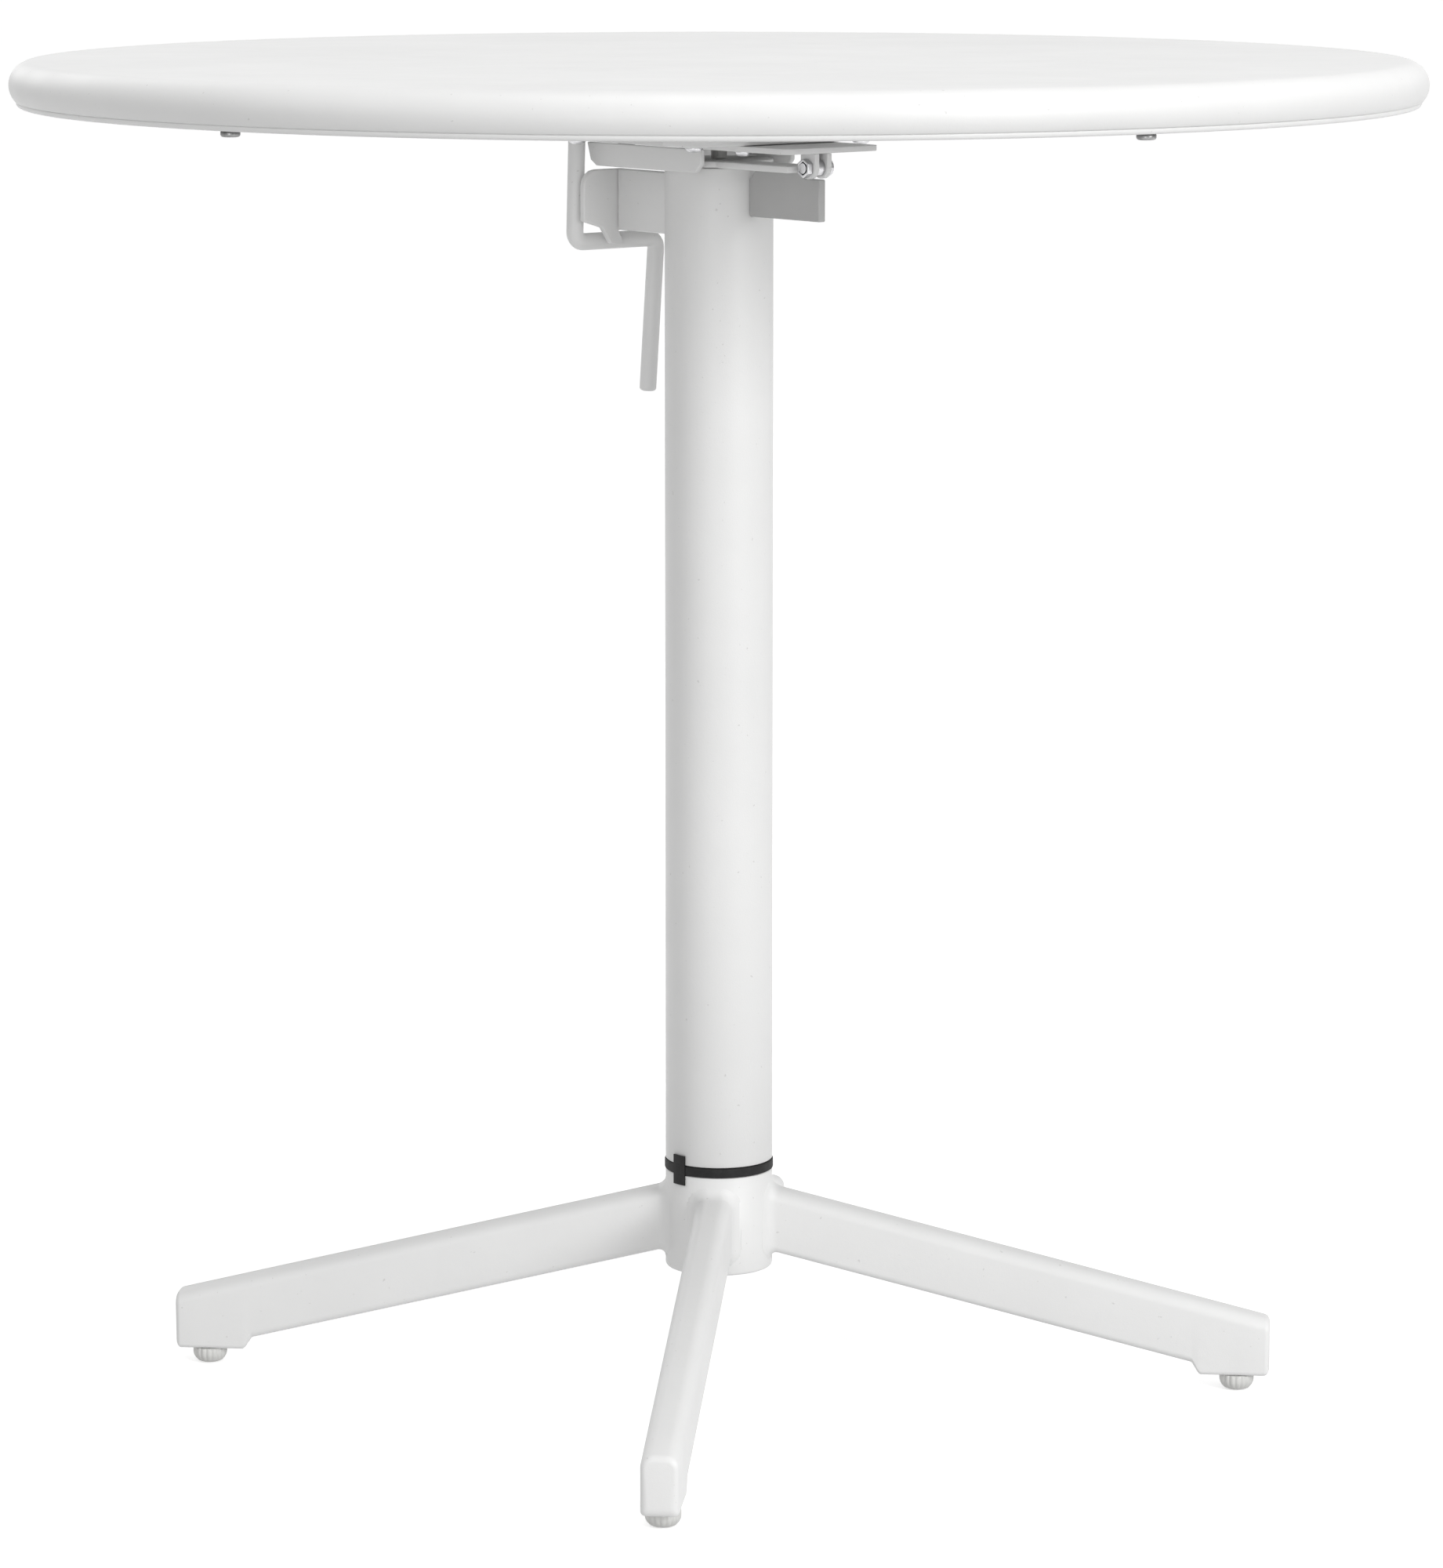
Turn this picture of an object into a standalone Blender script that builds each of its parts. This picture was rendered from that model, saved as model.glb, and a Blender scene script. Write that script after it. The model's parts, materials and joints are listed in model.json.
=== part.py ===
"""Round tilt-top bistro table on a four-leg base.

Metres, +Z up.  The origin is on the floor, on the axis of the pole.  The tilting
head is laid out in its own directions: U points across the hinge, V points from
the hinge to the latch.  Both are level, and U is HEAD_TURN round from +X.
"""
import math

import bmesh
import bpy
from mathutils import Matrix, Vector

# --- driving dimensions -----------------------------------------------------
GAP = 0.0003                    # clearance between touching pieces
TOP_RADIUS = 0.381              # 762 mm round top
TOP_HEIGHT = 0.730
RIM_DEPTH = 0.024
SKIN = 0.003                    # thickness of the moulded top skin
PANEL_THICK = 0.0027
POLE_RADIUS = 0.0295
POLE_WALL = 0.002
POLE_TOP = 0.672
HUB_BOTTOM = 0.063
SEAL_BOTTOM = 0.1183
SEAL_TOP = 0.1235
LEG_COUNT = 4
LEG_TURN = math.radians(-5.7)   # the first leg's direction, round from +X
LEG_WIDTH = 0.020
LEG_DROP = 0.245                # fall of a leg for each metre outwards
LEG_ROOT_TOP = 0.108            # height of a leg's top line at the hub
LEG_DEPTH = 0.0355              # upright depth of a leg
LEG_END = 0.305                 # radius of the leg's outer end
FOOT_BOTTOM = 0.009             # underside of the foot boss
FOOT_INNER = 0.267              # radius where the boss begins
GLIDE_AT = 0.287                # radius of the levelling glides
GLIDE_RADIUS = 0.0095
STUD_RADIUS = 0.004
ROD_RADIUS = 0.0047             # latch bail
HEAD_TURN = math.radians(39.3)
HINGE_V = -0.088
HINGE_Z = 0.675
PLATE_LOW = 0.683               # underside of the top's base plate
PLATE_THICK = 0.003
SADDLE_HALF = 0.033
LATCH_V = 0.074
LATCH_Z = 0.695

HUB_WALL = 0.004
BULKHEAD = 0.006                # thickness of the hub's top wall
TIE_RADIUS = 0.005              # rod that clamps base, pole and head together
TIE_BORE = 0.0055
NUT_RADIUS = 0.0098
WASHER_THICK = 0.002
PLUG_TOP_DROP = 0.016           # from the pole's top down to its plug
FOOT_STEP = 0.004               # slope of the boss's inner face
LEG_CROWN = 0.0085              # radius of a leg's upper edges
LEG_SOLE = 0.0025
LEG_END_ROUND = 0.0015
STUD_LOW = 0.0055
STUD_REACH = 0.018
TAB_BEARING = math.radians(223)
TAB_HALF_TURN = math.radians(8.5)
TAB_HALF_HEIGHT = 0.0082
HEAD_THICK = 0.0035
HINGE_BORE = 0.0031
HINGE_PIN = 0.0028
EAR_RADIUS = 0.0058
KNUCKLE_LOW = -0.0082           # the knuckle's ends, across the hinge
KNUCKLE_HIGH = -0.0032
KEEPER_V = 0.0635
KEEPER_THICK = 0.004
BRACKET_WALL = 0.003
RAIL_HALF_LENGTH = 0.070
RAIL_HALF_WIDTH = 0.0125
SCREW_BORE = 0.0028
SCREW_SHANK = 0.0025
EASED = 0.0006                  # chamfer on plate edges

UNDERSIDE = TOP_HEIGHT - RIM_DEPTH
HUB_TOP = SEAL_BOTTOM - GAP
RAIL_LOW = PLATE_LOW + PLATE_THICK + GAP
RAIL_HIGH = UNDERSIDE - GAP
HEAD = Matrix.Rotation(HEAD_TURN, 4, "Z")
RAIL_V = 0.050
RAIL_SCREW_U = 0.024
PANEL_SCREW_U = 0.058
BUTTON_RADIUS_AT = 0.364
BUTTON_ANGLES = (228.5, 305.0, 48.5, 125.0)

COARSE = 16
ROUND = 32


def clear_scene():
    """Remove whatever the scene holds."""
    for item in list(bpy.data.objects):
        bpy.data.objects.remove(item, do_unlink=True)


def material(name, colour, roughness, metallic=0.0):
    """Make one Principled BSDF material."""
    made = bpy.data.materials.new(name)
    made.use_nodes = True
    shader = made.node_tree.nodes["Principled BSDF"]
    shader.inputs["Base Color"].default_value = (*colour, 1.0)
    shader.inputs["Roughness"].default_value = roughness
    shader.inputs["Metallic"].default_value = metallic
    return made


def add_object(name, bm, finish, place=None, parent=None):
    """Turn a bmesh into a named, smooth-shaded object."""
    bmesh.ops.recalc_face_normals(bm, faces=bm.faces)
    mesh = bpy.data.meshes.new(name)
    bm.to_mesh(mesh)
    bm.free()
    mesh.materials.append(finish)
    return add_copy(name, mesh, place, parent)


def add_copy(name, mesh, place=None, parent=None):
    """Link one object that uses the given mesh."""
    mesh.shade_smooth()
    mesh.set_sharp_from_angle(angle=math.radians(35))
    item = bpy.data.objects.new(name, mesh)
    bpy.context.scene.collection.objects.link(item)
    if parent:
        item.parent = parent
        item.matrix_parent_inverse = parent.matrix_world.inverted()
    item.matrix_world = place or Matrix.Identity(4)
    return item


def pivot(name, at):
    """An empty on a joint's axis."""
    empty = bpy.data.objects.new(name, None)
    bpy.context.scene.collection.objects.link(empty)
    empty.matrix_world = Matrix.Translation(at)
    bpy.context.view_layer.update()
    return empty


def head_point(u, v, z):
    """World point of a place in the head's own directions."""
    return HEAD @ Vector((u, v, z))


def lathe(profile, steps):
    """Spin a closed (radius, height) profile round Z."""
    bm = bmesh.new()
    rings = [bm.verts.new((radius, 0.0, height)) for radius, height in profile]
    edges = [bm.edges.new((rings[i - 1], rings[i])) for i in range(1, len(rings))]
    if profile[0][0] > 0.0:
        edges.append(bm.edges.new((rings[-1], rings[0])))
    bmesh.ops.spin(bm, geom=rings + edges, axis=(0, 0, 1), cent=(0, 0, 0),
                   angle=2 * math.pi, steps=steps, use_merge=True)
    bmesh.ops.remove_doubles(bm, verts=bm.verts, dist=0.000002)
    return bm


def tube_profile(inner, outer, low, high):
    """Profile of a plain ring or tube."""
    return [(outer, low), (outer, high), (inner, high), (inner, low)]


def hex_nut(bolt_radius, radius, low, high):
    """Six-sided nut whose flats clear the bolt."""
    inner = (bolt_radius + GAP) / math.cos(math.pi / 6)
    return lathe(tube_profile(inner, radius, low, high), 6)


def disc_profile(radius, low, high, round_low=0.0, round_high=0.0):
    """Profile of a solid disc with optional rounded edges."""
    points = [(0.0, low)]
    points += arc(radius - round_low, low + round_low, round_low, -90, 0)
    points += arc(radius - round_high, high - round_high, round_high, 0, 90)
    points.append((0.0, high))
    return points


def arc(x, y, radius, start, end, steps=3):
    """Points of an arc, in degrees; one point when the radius is nil."""
    if radius <= 0.0:
        return [(x, y)]
    turns = [math.radians(start + (end - start) * i / steps) for i in range(steps + 1)]
    return [(x + radius * math.cos(t), y + radius * math.sin(t)) for t in turns]


def prism(outline, low, high, axis="Z"):
    """Extrude a closed outline from low to high along an axis.

    For Z the outline is (x, y), for X it is (y, z) and for Y it is (x, z).
    """
    bm = bmesh.new()
    order = {
        "X": lambda a, b: (low, a, b),
        "Y": lambda a, b: (a, low, b),
        "Z": lambda a, b: (a, b, low),
    }
    face = bm.faces.new([bm.verts.new(order[axis](a, b)) for a, b in outline])
    shift = Vector([high - low if axis == letter else 0.0 for letter in "XYZ"])
    grown = bmesh.ops.extrude_face_region(bm, geom=[face])
    moved = [item for item in grown["geom"] if isinstance(item, bmesh.types.BMVert)]
    bmesh.ops.translate(bm, verts=moved, vec=shift)
    return bm


def box(x, y, z, soften=0.0):
    """A block between (low, high) pairs, with softened edges."""
    bm = prism([(x[0], y[0]), (x[1], y[0]), (x[1], y[1]), (x[0], y[1])], z[0], z[1])
    if soften:
        bmesh.ops.bevel(bm, geom=bm.edges, offset=soften, segments=2, profile=0.5, affect="EDGES")
    return bm


def rounded_outline(x, y, radius, steps=3):
    """A rectangle with round corners."""
    return (arc(x[1] - radius, y[0] + radius, radius, -90, 0, steps)
            + arc(x[1] - radius, y[1] - radius, radius, 0, 90, steps)
            + arc(x[0] + radius, y[1] - radius, radius, 90, 180, steps)
            + arc(x[0] + radius, y[0] + radius, radius, 180, 270, steps))


def rod(points, radius, sides=12):
    """Sweep a round bar along a line of points."""
    bm = bmesh.new()
    rings = []
    normal = None
    for i, point in enumerate(points):
        before = points[max(i - 1, 0)]
        after = points[min(i + 1, len(points) - 1)]
        along = (after - before).normalized()
        if normal is None:
            normal = along.orthogonal().normalized()
        normal = (normal - along * normal.dot(along)).normalized()
        side = along.cross(normal)
        ring = []
        for k in range(sides):
            turn = 2 * math.pi * k / sides
            spoke = math.cos(turn) * normal + math.sin(turn) * side
            ring.append(bm.verts.new(point + radius * spoke))
        rings.append(ring)
    for lower, upper in zip(rings, rings[1:]):
        for k in range(sides):
            bm.faces.new((lower[k - 1], lower[k], upper[k], upper[k - 1]))
    bm.faces.new(rings[0])
    bm.faces.new(rings[-1])
    return bm


def bent_path(corners, bend, steps=5):
    """Points along straight runs joined by round bends."""
    points = [corners[0]]
    for before, corner, after in zip(corners, corners[1:], corners[2:]):
        into = (corner - before).normalized()
        out = (after - corner).normalized()
        turn = into.angle(out)
        reach = bend * math.tan(turn / 2)
        start = corner - into * reach
        centre = start + (out - into * into.dot(out)).normalized() * bend
        spoke = start - centre
        axis = into.cross(out).normalized()
        points += [centre + Matrix.Rotation(turn * i / steps, 3, axis) @ spoke for i in range(steps + 1)]
    points.append(corners[-1])
    return points


def cutter(name, bm, place=None):
    """A hidden object that Boolean modifiers cut with."""
    bmesh.ops.recalc_face_normals(bm, faces=bm.faces)
    mesh = bpy.data.meshes.new(name)
    bm.to_mesh(mesh)
    bm.free()
    item = bpy.data.objects.new(name, mesh)
    bpy.context.scene.collection.objects.link(item)
    item.matrix_world = place or Matrix.Identity(4)
    item.hide_render = True
    item.display_type = "WIRE"
    return item


def boolean(item, tool, operation="DIFFERENCE"):
    """Cut or join an object with a tool object."""
    change = item.modifiers.new(tool.name, "BOOLEAN")
    change.object = tool
    change.operation = operation


def at(x, y, z):
    """A translation."""
    return Matrix.Translation((x, y, z))


def polar(radius, degrees, z):
    """A translation to a radius and bearing."""
    angle = math.radians(degrees)
    return at(radius * math.cos(angle), radius * math.sin(angle), z)


# --- base ---------------------------------------------------------------------
def make_hub(white):
    """Hub tube with an inner bulkhead that the tie rod pulls on."""
    inner = POLE_RADIUS - HUB_WALL
    bulkhead = HUB_TOP - BULKHEAD
    profile = [(POLE_RADIUS, HUB_BOTTOM), (POLE_RADIUS, HUB_TOP), (TIE_BORE, HUB_TOP),
               (TIE_BORE, bulkhead), (inner, bulkhead), (inner, HUB_BOTTOM)]
    add_object("hub", lathe(profile, 48), white)


def leg_section(x, low, high, inset=0.0):
    """Upright section of a leg: full round crown, small radii at the sole."""
    half = LEG_WIDTH / 2 - inset
    crown = LEG_CROWN - inset
    sole = LEG_SOLE - inset
    low += inset
    high -= inset
    outline = arc(half - crown, high - crown, crown, 0, 90, 4)
    outline += arc(crown - half, high - crown, crown, 90, 180, 4)
    outline += arc(sole - half, low + sole, sole, 180, 270, 2)
    outline += arc(half - sole, low + sole, sole, 270, 360, 2)
    return [(x, y, z) for y, z in outline]


def loft(sections):
    """Solid through sections that have the same number of points."""
    bm = bmesh.new()
    rings = [[bm.verts.new(point) for point in section] for section in sections]
    for near, far in zip(rings, rings[1:]):
        for k in range(len(near)):
            bm.faces.new((near[k - 1], near[k], far[k], far[k - 1]))
    bm.faces.new(rings[0])
    bm.faces.new(rings[-1])
    return bm


def make_leg_mesh(white):
    """One leg lying along +X, from the hub to its foot boss."""
    sections = []
    for x, inset in ((POLE_RADIUS - HUB_WALL, 0.0), (FOOT_INNER - FOOT_STEP, 0.0), (FOOT_INNER, 0.0),
                     (LEG_END - LEG_END_ROUND, 0.0), (LEG_END, LEG_END_ROUND)):
        high = LEG_ROOT_TOP - LEG_DROP * (x - POLE_RADIUS)
        low = high - LEG_DEPTH if x < FOOT_INNER else FOOT_BOTTOM
        sections.append(leg_section(x, low, high, inset))
    bm = loft(sections)
    bmesh.ops.recalc_face_normals(bm, faces=bm.faces)
    mesh = bpy.data.meshes.new("leg")
    bm.to_mesh(mesh)
    bm.free()
    mesh.materials.append(white)
    return mesh


def make_legs(white, nylon, steel):
    """Four legs, each with a levelling glide on a threaded stud."""
    mesh = make_leg_mesh(white)
    hub_cut = cutter("hub_clearance", lathe(disc_profile(POLE_RADIUS + GAP, 0.0, SEAL_TOP), 48))
    stud_cut = cutter("stud_bores", joined_pins(
        [polar_point(GLIDE_AT, leg_angle(i), 0.0) for i in range(LEG_COUNT)],
        STUD_RADIUS + GAP, 0.0, FOOT_BOTTOM + STUD_REACH + 0.002))
    glide = lathe(glide_profile(), 24)
    bmesh.ops.recalc_face_normals(glide, faces=glide.faces)
    glide_mesh = bpy.data.meshes.new("glide")
    glide.to_mesh(glide_mesh)
    glide.free()
    glide_mesh.materials.append(nylon)
    for i in range(LEG_COUNT):
        turn = leg_angle(i)
        leg = add_copy(f"leg_{i + 1}", mesh, Matrix.Rotation(turn, 4, "Z"))
        boolean(leg, hub_cut)
        boolean(leg, stud_cut)
        spot = polar_point(GLIDE_AT, turn, 0.0)
        foot = pivot(f"level_{i + 1}", spot)
        add_copy(f"glide_{i + 1}", glide_mesh, Matrix.Translation(spot), foot)
        stud = lathe(disc_profile(STUD_RADIUS, STUD_LOW, FOOT_BOTTOM + STUD_REACH), COARSE)
        add_object(f"glide_stud_{i + 1}", stud, steel, Matrix.Translation(spot), foot)


def glide_profile():
    """Domed glide with a socket for its stud."""
    top = FOOT_BOTTOM - GAP
    socket = STUD_LOW - GAP
    bore = STUD_RADIUS + GAP
    return [(0.0, 0.0), (0.0055, 0.0), (0.0078, 0.0014), (GLIDE_RADIUS, 0.0045),
            (GLIDE_RADIUS, top - 0.0008), (GLIDE_RADIUS - 0.0008, top),
            (bore, top), (bore, socket), (0.0, socket)]


def leg_angle(index):
    """Bearing of one leg."""
    return LEG_TURN + 2 * math.pi * index / LEG_COUNT


def polar_point(radius, angle, z):
    """Point at a radius and bearing in radians."""
    return Vector((radius * math.cos(angle), radius * math.sin(angle), z))


def joined_pins(spots, radius, low, high):
    """Several upright pins in one mesh, for use as a cutter."""
    bm = bmesh.new()
    for spot in spots:
        place = Matrix.Translation((spot.x, spot.y, (low + high) / 2))
        bmesh.ops.create_cone(bm, cap_ends=True, segments=COARSE, radius1=radius, radius2=radius,
                              depth=high - low, matrix=place)
    return bm


def make_seal(rubber):
    """Gasket between hub and pole, with a plain locating tab outside."""
    ring = tube_profile(TIE_BORE + 0.0007, POLE_RADIUS + 0.0006, SEAL_BOTTOM, SEAL_TOP)
    seal = add_object("joint_seal", lathe(ring, 48), rubber)
    inner = POLE_RADIUS + GAP
    outer = POLE_RADIUS + 0.0009
    turns = [TAB_BEARING + TAB_HALF_TURN * (i - 3) / 3 for i in range(7)]
    outline = [(outer * math.cos(t), outer * math.sin(t)) for t in turns]
    outline += [(inner * math.cos(t), inner * math.sin(t)) for t in reversed(turns)]
    middle = (SEAL_BOTTOM + SEAL_TOP) / 2
    tab = prism(outline, middle - TAB_HALF_HEIGHT, middle + TAB_HALF_HEIGHT)
    boolean(seal, cutter("seal_tab", tab), "UNION")


def make_pole(white, steel):
    """Pole tube, its top plug, and the tie rod that holds the base on."""
    low = SEAL_TOP + GAP
    inner = POLE_RADIUS - POLE_WALL
    add_object("pole", lathe(tube_profile(inner, POLE_RADIUS, low, POLE_TOP), 48), white)
    plug_top = POLE_TOP - PLUG_TOP_DROP
    plug = tube_profile(TIE_BORE, inner - GAP, plug_top - 0.014, plug_top)
    add_object("pole_plug", lathe(plug, ROUND), steel)
    rod_low = HUB_TOP - 0.024
    rod_high = POLE_TOP - 0.004
    add_object("tie_rod", lathe(disc_profile(TIE_RADIUS, rod_low, rod_high, 0.0008, 0.0008), COARSE), steel)
    nut_top = HUB_TOP - BULKHEAD - WASHER_THICK - 2 * GAP
    washer = tube_profile(TIE_BORE, 0.012, nut_top + GAP, nut_top + GAP + WASHER_THICK)
    add_object("tie_washer", lathe(washer, 24), steel)
    add_object("tie_nut", hex_nut(TIE_RADIUS, NUT_RADIUS, nut_top - 0.008, nut_top), steel)
    low = plug_top + GAP
    add_object("plug_nut", hex_nut(TIE_RADIUS, NUT_RADIUS, low, low + 0.008), steel)


# --- fixed head ---------------------------------------------------------------
def make_head(white, steel, nylon):
    """Plate on the pole, its rest pad and two arms, the latch keeper and the knuckle."""
    low = POLE_TOP + GAP
    high = low + HEAD_THICK
    tongue = HINGE_V + 0.0065
    reach = HINGE_V + 0.0050
    start = math.degrees(math.asin(0.002 / POLE_RADIUS))
    finish = 270 - math.degrees(math.asin(0.020 / POLE_RADIUS))
    outline = arc(0.0, 0.0, POLE_RADIUS, -90 + start, finish, 30)
    outline += [(-0.020, tongue), (KNUCKLE_LOW, tongue), (KNUCKLE_LOW, reach),
                (KNUCKLE_HIGH, reach), (KNUCKLE_HIGH, tongue), (0.002, tongue)]
    add_object("head_plate", prism(outline, low, high), white, HEAD)

    pad = disc_profile(0.0043, high + GAP, PLATE_LOW - GAP, 0.0, 0.0008)
    add_object("rest_pad", lathe(pad, 24), nylon, HEAD)

    arm_low, arm_high = 0.646, POLE_TOP
    end = HINGE_V + 0.0005
    step = HINGE_V + 0.012
    root = -POLE_RADIUS - GAP
    outline = [(end, arm_low), (root, arm_low), (root, arm_high - 0.006), (root - 0.006, arm_high),
               (step, arm_high), (step, arm_high - 0.0035), (end, arm_high - 0.0035)]
    arm = add_object("hinge_arm", prism(outline, -0.0035, 0.0015, "X"), white, HEAD)
    edge_round(arm, EASED)

    bar = box((-0.020, -0.015), (POLE_RADIUS / 2, KEEPER_V - GAP), (0.6345, 0.6680))
    arm = add_object("latch_arm", bar, white, HEAD)
    edge_round(arm, EASED)
    pole = lathe(disc_profile(POLE_RADIUS + GAP, PLATE_LOW - 0.06, PLATE_LOW), 48)
    boolean(arm, cutter("latch_arm_coping", pole))

    keeper = [(-0.043, 0.640), (-0.030, 0.636), (-0.024, 0.627), (-0.0165, 0.626), (-0.0165, 0.630),
              (-0.019, 0.634), (-0.014, 0.6355), (-0.014, 0.668)]
    keeper += arc(-0.034, 0.659, 0.009, 90, 180, 4)
    plate = add_object("latch_keeper", prism(keeper, KEEPER_V, KEEPER_V + KEEPER_THICK, "Y"), white, HEAD)
    edge_round(plate, EASED)

    knuckle = lathe(tube_profile(HINGE_BORE, 0.0046, KNUCKLE_LOW, KNUCKLE_HIGH), 24)
    along_u = HEAD @ at(0.0, HINGE_V, HINGE_Z) @ Matrix.Rotation(math.pi / 2, 4, "Y")
    add_object("hinge_knuckle", knuckle, steel, along_u)


def edge_round(item, width):
    """Ease the edges of a plate."""
    bevel = item.modifiers.new("eased", "BEVEL")
    bevel.width = width
    bevel.segments = 1
    bevel.limit_method = "ANGLE"
    bevel.angle_limit = math.radians(40)


# --- tilting top ---------------------------------------------------------------
def make_top(white, panel_finish, core_finish, tilt, screw_cut):
    """Moulded skin, core board and under panel."""
    radius = RIM_DEPTH / 2 + 0.0005
    centre = TOP_RADIUS - radius
    lip = UNDERSIDE + PANEL_THICK + GAP
    outer_turn = math.degrees(math.asin((TOP_HEIGHT - radius - lip) / radius))
    outline = [(0.0, TOP_HEIGHT - SKIN)]
    outline += arc(centre, TOP_HEIGHT - radius, radius - SKIN, 90, -outer_turn, 8)
    outline += arc(centre, TOP_HEIGHT - radius, radius, -outer_turn, 90, 10)
    outline += [(0.0, TOP_HEIGHT)]
    add_object("top_skin", lathe(outline, 96), white, parent=tilt)

    edge = centre + radius * math.cos(math.radians(outer_turn)) - 0.0012
    outline = [(0.0, UNDERSIDE), (edge - 0.004, UNDERSIDE), (edge - 0.001, UNDERSIDE + 0.0009),
               (edge, UNDERSIDE + PANEL_THICK), (0.0, UNDERSIDE + PANEL_THICK)]
    panel = add_object("under_panel", lathe(outline, 96), panel_finish, parent=tilt)
    boolean(panel, screw_cut)

    low = UNDERSIDE + PANEL_THICK + GAP
    core = disc_profile(centre - 0.002, low, TOP_HEIGHT - SKIN - GAP)
    core = add_object("core_board", lathe(core, 64), core_finish, parent=tilt)
    boolean(core, screw_cut)


def make_bracket(white, steel, tilt):
    """Rails, base plate, saddle walls and hinge ears under the top."""
    rail_cut = cutter("plate_screw_bores", joined_pins(
        [head_point(u, v, 0.0) for u in (-RAIL_SCREW_U, RAIL_SCREW_U) for v in (-RAIL_V, RAIL_V)],
        SCREW_BORE, PLATE_LOW - 0.004, RAIL_LOW + 0.011))
    panel_cut = cutter("rail_screw_bores", joined_pins(
        [head_point(u, v, 0.0) for u in (-PANEL_SCREW_U, PANEL_SCREW_U) for v in (-RAIL_V, RAIL_V)],
        SCREW_BORE, RAIL_LOW - 0.004, UNDERSIDE + 0.0135))
    for name, v in (("rail_hinge_side", -RAIL_V), ("rail_latch_side", RAIL_V)):
        bm = box((-RAIL_HALF_LENGTH, RAIL_HALF_LENGTH), (v - RAIL_HALF_WIDTH, v + RAIL_HALF_WIDTH),
                 (RAIL_LOW, RAIL_HIGH), 0.0015)
        rail = add_object(name, bm, white, HEAD, tilt)
        boolean(rail, rail_cut)
        boolean(rail, panel_cut)

    outline = rounded_outline((-SADDLE_HALF, SADDLE_HALF), (-0.096, 0.082), 0.006)
    plate = prism(outline, PLATE_LOW, PLATE_LOW + PLATE_THICK)
    plate = add_object("base_plate", plate, white, HEAD, tilt)
    boolean(plate, rail_cut)

    for name, side in (("saddle_wall_outer", -1), ("saddle_wall_inner", 1)):
        near, far = sorted((side * SADDLE_HALF, side * (SADDLE_HALF - BRACKET_WALL)))
        wall = [(-0.025, PLATE_LOW - GAP), (-0.025, 0.675), (-0.020, 0.670), (0.066, 0.670),
                (0.071, 0.673), (0.074, PLATE_LOW - GAP)]
        item = add_object(name, prism(wall, near, far, "X"), white, HEAD, tilt)
        edge_round(item, EASED)

    outer_ear = KNUCKLE_LOW - GAP - BRACKET_WALL
    for name, u in (("hinge_ear_outer", outer_ear), ("hinge_ear_inner", KNUCKLE_HIGH + GAP)):
        outline = arc(HINGE_V, HINGE_Z, EAR_RADIUS, 180, 360, 10)
        outline += [(HINGE_V + EAR_RADIUS, PLATE_LOW - GAP), (HINGE_V - EAR_RADIUS, PLATE_LOW - GAP)]
        item = add_object(name, prism(outline, u, u + BRACKET_WALL, "X"), white, HEAD, tilt)
        bore = lathe(disc_profile(HINGE_BORE, -0.03, 0.01), COARSE)
        place = HEAD @ at(0.0, HINGE_V, HINGE_Z) @ Matrix.Rotation(math.pi / 2, 4, "Y")
        boolean(item, cutter(f"{name}_bore", bore, place))

    for i, (u, v) in enumerate((u, v) for u in (-1, 1) for v in (-1, 1)):
        head = head_point(u * RAIL_SCREW_U, v * RAIL_V, PLATE_LOW - GAP)
        add_screw(f"plate_screw_{i + 1}", head, 0.012, steel, tilt)
        head = head_point(u * PANEL_SCREW_U, v * RAIL_V, RAIL_LOW - GAP)
        add_screw(f"panel_screw_{i + 1}", head, 0.032, steel, tilt)


def add_screw(name, spot, length, steel, parent):
    """Pan-head screw pointing up from its head's seat."""
    profile = [(0.0, -0.0026), (0.0028, -0.0024), (0.0046, -0.0012), (0.0048, 0.0),
               (SCREW_SHANK, 0.0), (SCREW_SHANK, length - 0.001), (0.0, length)]
    add_object(name, lathe(profile, COARSE), steel, Matrix.Translation(spot), parent)


def make_hinge_bolt(steel, tilt):
    """Bolt and nut through the ears and the knuckle."""
    place = HEAD @ at(0.0, HINGE_V, HINGE_Z) @ Matrix.Rotation(math.pi / 2, 4, "Y")
    bolt = [(0.0, -0.0152), (HINGE_PIN, -0.0152), (HINGE_PIN, 0.0004),
            (0.0048, 0.0004), (0.0046, 0.0028), (0.0, 0.0034)]
    add_object("hinge_bolt", lathe(bolt, COARSE), steel, place, tilt)
    add_object("hinge_nut", hex_nut(HINGE_PIN, 0.0052, -0.0150, -0.0118), steel, place, tilt)


def make_buttons(steel, tilt):
    """Round buttons near the rim, for stacking and for lifting off."""
    profile = disc_profile(0.005, UNDERSIDE - 0.0035, UNDERSIDE - GAP, 0.0012)
    for i, bearing in enumerate(BUTTON_ANGLES):
        place = polar(BUTTON_RADIUS_AT, bearing, 0.0)
        add_object(f"rim_button_{i + 1}", lathe(profile, COARSE), steel, place, tilt)


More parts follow.
